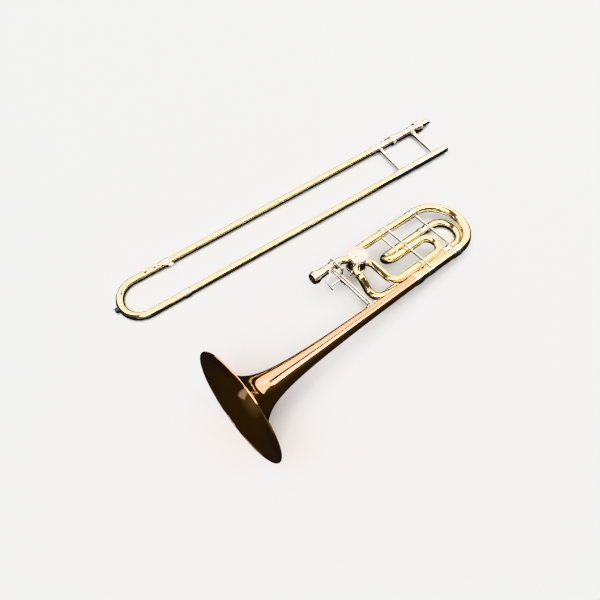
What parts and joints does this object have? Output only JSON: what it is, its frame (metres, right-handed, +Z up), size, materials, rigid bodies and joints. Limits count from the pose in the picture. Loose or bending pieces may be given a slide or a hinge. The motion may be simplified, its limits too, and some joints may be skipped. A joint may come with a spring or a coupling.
{
  "type": "trombone",
  "caption": "Large-bore tenor trombone with an F attachment, taken apart into its bell section and its hand slide, lying side by side on the ground.",
  "frame": {"origin": "on the ground under the middle of the two halves' bounding box", "axes": "+X from the bell's rim towards the tuning bow and along the hand slide, +Y from the bell section to the hand slide, +Z up"},
  "size_m": [0.82, 0.5078, 0.2142],
  "materials": {
    "gold_brass": "lacquered, mirror polished",
    "rim_brass": "lacquered, polished",
    "yellow_brass": "lacquered, polished",
    "nickel_silver": "nickel silver, polished",
    "plated_tube": "chrome plated",
    "valve_bronze": "lapped",
    "steel": "polished",
    "link_brass": "polished",
    "bumper_rubber": "matt"
  },
  "bodies": {
    "bell_section": {"bell": "gold_brass", "bell_rim_wire": "rim_brass", "bell_ferrule": "nickel_silver", "bell_tuning_sleeve": "yellow_brass", "neck_tuning_sleeve": "yellow_brass", "tuning_sleeve_ferrules": "nickel_silver", "main_out_knuckle": "yellow_brass", "neckpipe": "yellow_brass", "neckpipe_sleeve": "nickel_silver", "bell_receiver": "nickel_silver", "bell_brace_rods": "nickel_silver", "bell_brace_flanges": "nickel_silver", "rear_brace": "nickel_silver", "valve_casing": "nickel_silver", "valve_cap": "nickel_silver", "valve_bearings": "valve_bronze", "stop_plate": "nickel_silver", "stop_bumpers": "bumper_rubber", "f_crossing_tube": "yellow_brass", "f_return_tube": "yellow_brass", "f_upper_tube": "yellow_brass", "f_joint_ferrule": "nickel_silver", "f_sleeves": "yellow_brass", "f_sleeve_ferrules": "nickel_silver", "f_wrap_stays": "nickel_silver", "trigger_saddle": "nickel_silver", "trigger_spring": "steel"},
    "tuning_slide": {"tuning_slide_crook": "yellow_brass", "tuning_slide_legs": "plated_tube", "tuning_slide_ferrules": "nickel_silver", "tuning_slide_brace": "nickel_silver"},
    "f_slide": {"f_slide_crook": "yellow_brass", "f_slide_legs": "plated_tube", "f_slide_ferrules": "nickel_silver", "f_slide_brace": "nickel_silver"},
    "rotor": {"valve_rotor": "valve_bronze", "stop_arm": "nickel_silver", "stop_arm_screw": "steel"},
    "thumb_trigger": {"trigger_axle": "steel", "thumb_lever": "steel", "thumb_bar": "nickel_silver", "trigger_crank": "nickel_silver"},
    "trigger_link": {"trigger_link": "link_brass"},
    "inner_slide": {"inner_slide_tubes": "plated_tube", "cork_barrels": "nickel_silver", "inner_slide_brace": "nickel_silver", "mouthpiece_receiver": "nickel_silver", "slide_tenon": "nickel_silver"},
    "tenon_nut": {"tenon_lock_nut": "nickel_silver"},
    "slide_lock": {"slide_lock_ring": "nickel_silver"},
    "hand_slide": {"outer_slide_tubes": "yellow_brass", "slide_oversleeves": "nickel_silver", "hand_slide_brace": "nickel_silver", "bow_ferrules": "nickel_silver", "slide_bow": "yellow_brass", "slide_bumper": "bumper_rubber", "water_key_saddle": "nickel_silver", "water_key_pin": "steel"},
    "water_key": {"water_key": "nickel_silver", "water_key_cork": "bumper_rubber"}
  },
  "joints": [
    {"name": "tuning_slide_pull", "type": "slide", "parent": "bell_section", "child": "tuning_slide", "axis": [0.9857, 0.1071, -0.1303], "range_m": [0, 0.07]},
    {"name": "f_slide_pull", "type": "slide", "parent": "bell_section", "child": "f_slide", "axis": [0.9857, 0.1071, -0.1303], "range_m": [0, 0.05]},
    {"name": "thumb_trigger_press", "type": "hinge", "parent": "bell_section", "child": "thumb_trigger", "pos_m": [-0.01875, 0.0047, 0.0805], "axis": [-0.108, 0.9942, 0], "range_deg": [-20, 0], "stiffness_Nm_per_rad": 0.25, "springref_deg": 20.05},
    {"name": "valve_turn", "type": "hinge", "parent": "bell_section", "child": "rotor", "pos_m": [0.02398, -0.00676, 0.06045], "axis": [0.1296, 0.0141, 0.9915], "range_deg": [0, 90]},
    {"name": "link_swing", "type": "hinge", "parent": "thumb_trigger", "child": "trigger_link", "pos_m": [-0.01862, -0.01893, 0.04289], "axis": [-0.108, 0.9942, 0], "range_deg": [0, 25.5]},
    {"name": "slide_section_lift", "type": "slide", "parent": "bell_section", "child": "inner_slide", "axis": [0, 0, 1], "range_m": [0, 0.25]},
    {"name": "tenon_nut_turn", "type": "hinge", "parent": "inner_slide", "child": "tenon_nut", "pos_m": [0.37788, 0.23295, 0.01279], "axis": [0.9998, -0.0175, 0.0053], "continuous": true},
    {"name": "slide_lock_turn", "type": "hinge", "parent": "inner_slide", "child": "slide_lock", "pos_m": [0.30589, 0.23421, 0.0124], "axis": [0.9998, -0.0175, 0.0053], "range_deg": [0, 20]},
    {"name": "hand_slide_run", "type": "slide", "parent": "inner_slide", "child": "hand_slide", "axis": [-0.9998, 0.0175, -0.0053], "range_m": [0, 0.56]},
    {"name": "water_key_press", "type": "hinge", "parent": "hand_slide", "child": "water_key", "pos_m": [-0.29908, 0.24477, 0.02277], "axis": [0.0175, 0.9998, 0], "range_deg": [0, 12], "stiffness_Nm_per_rad": 0.15, "springref_deg": -14.32}
  ],
  "couplings": [
    {"joint": "valve_turn", "follows": "thumb_trigger_press", "ratio": -4.5},
    {"joint": "link_swing", "follows": "thumb_trigger_press", "ratio": -1.255}
  ]
}
